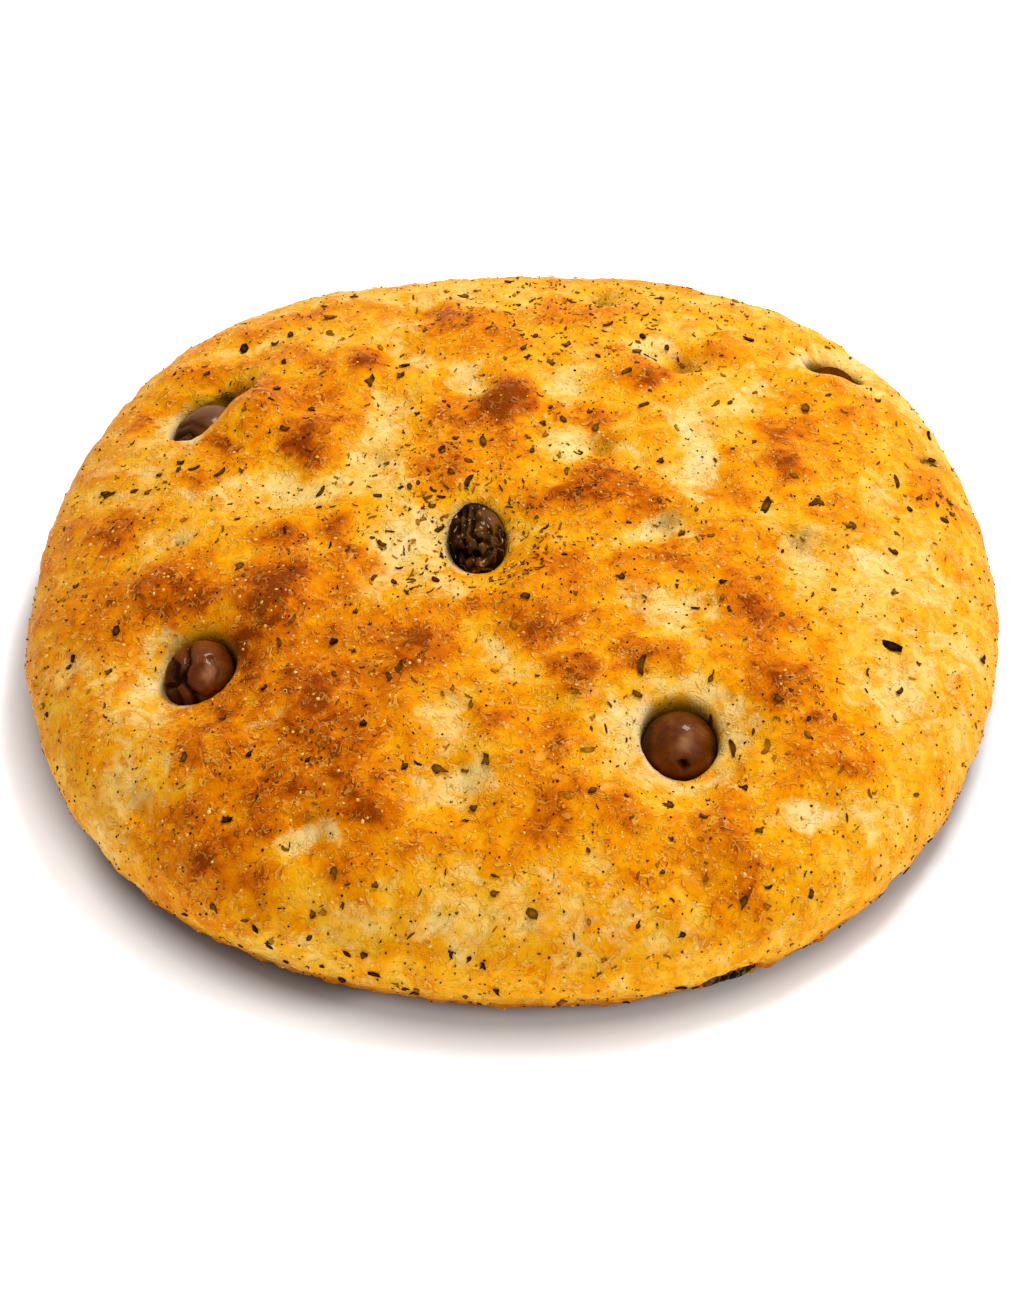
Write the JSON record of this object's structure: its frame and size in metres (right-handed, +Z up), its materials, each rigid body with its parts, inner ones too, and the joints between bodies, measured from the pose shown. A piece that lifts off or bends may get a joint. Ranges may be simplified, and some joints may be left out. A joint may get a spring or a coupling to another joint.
{
  "type": "focaccia",
  "caption": "Round whole olive focaccia: a low domed flatbread with finger dents, browned pillows, olives sunk in wells and dried herb flakes on its crust.",
  "frame": {"origin": "on the table under the middle of the loaf, at the centre of its footprint box", "axes": "+Z up, the shortest extent; +Y away from the side the picture was taken from; +X to its right"},
  "size_m": [0.2466, 0.2468, 0.0492],
  "materials": {
    "crust": "baked golden crust, oiled, browned on the pillows and pale in the dents",
    "black_olive": "wrinkled oily olive skin",
    "brown_olive": "smooth oily olive skin",
    "charred_herb": "dry scorched leaf"
  },
  "bodies": {
    "root": {"bread": "crust", "olive_middle": "black_olive", "olive_left": "brown_olive", "olive_front": "brown_olive", "olive_far_left": "brown_olive", "olive_far_right": "brown_olive", "charred_leaf": "charred_herb"}
  },
  "joints": []
}
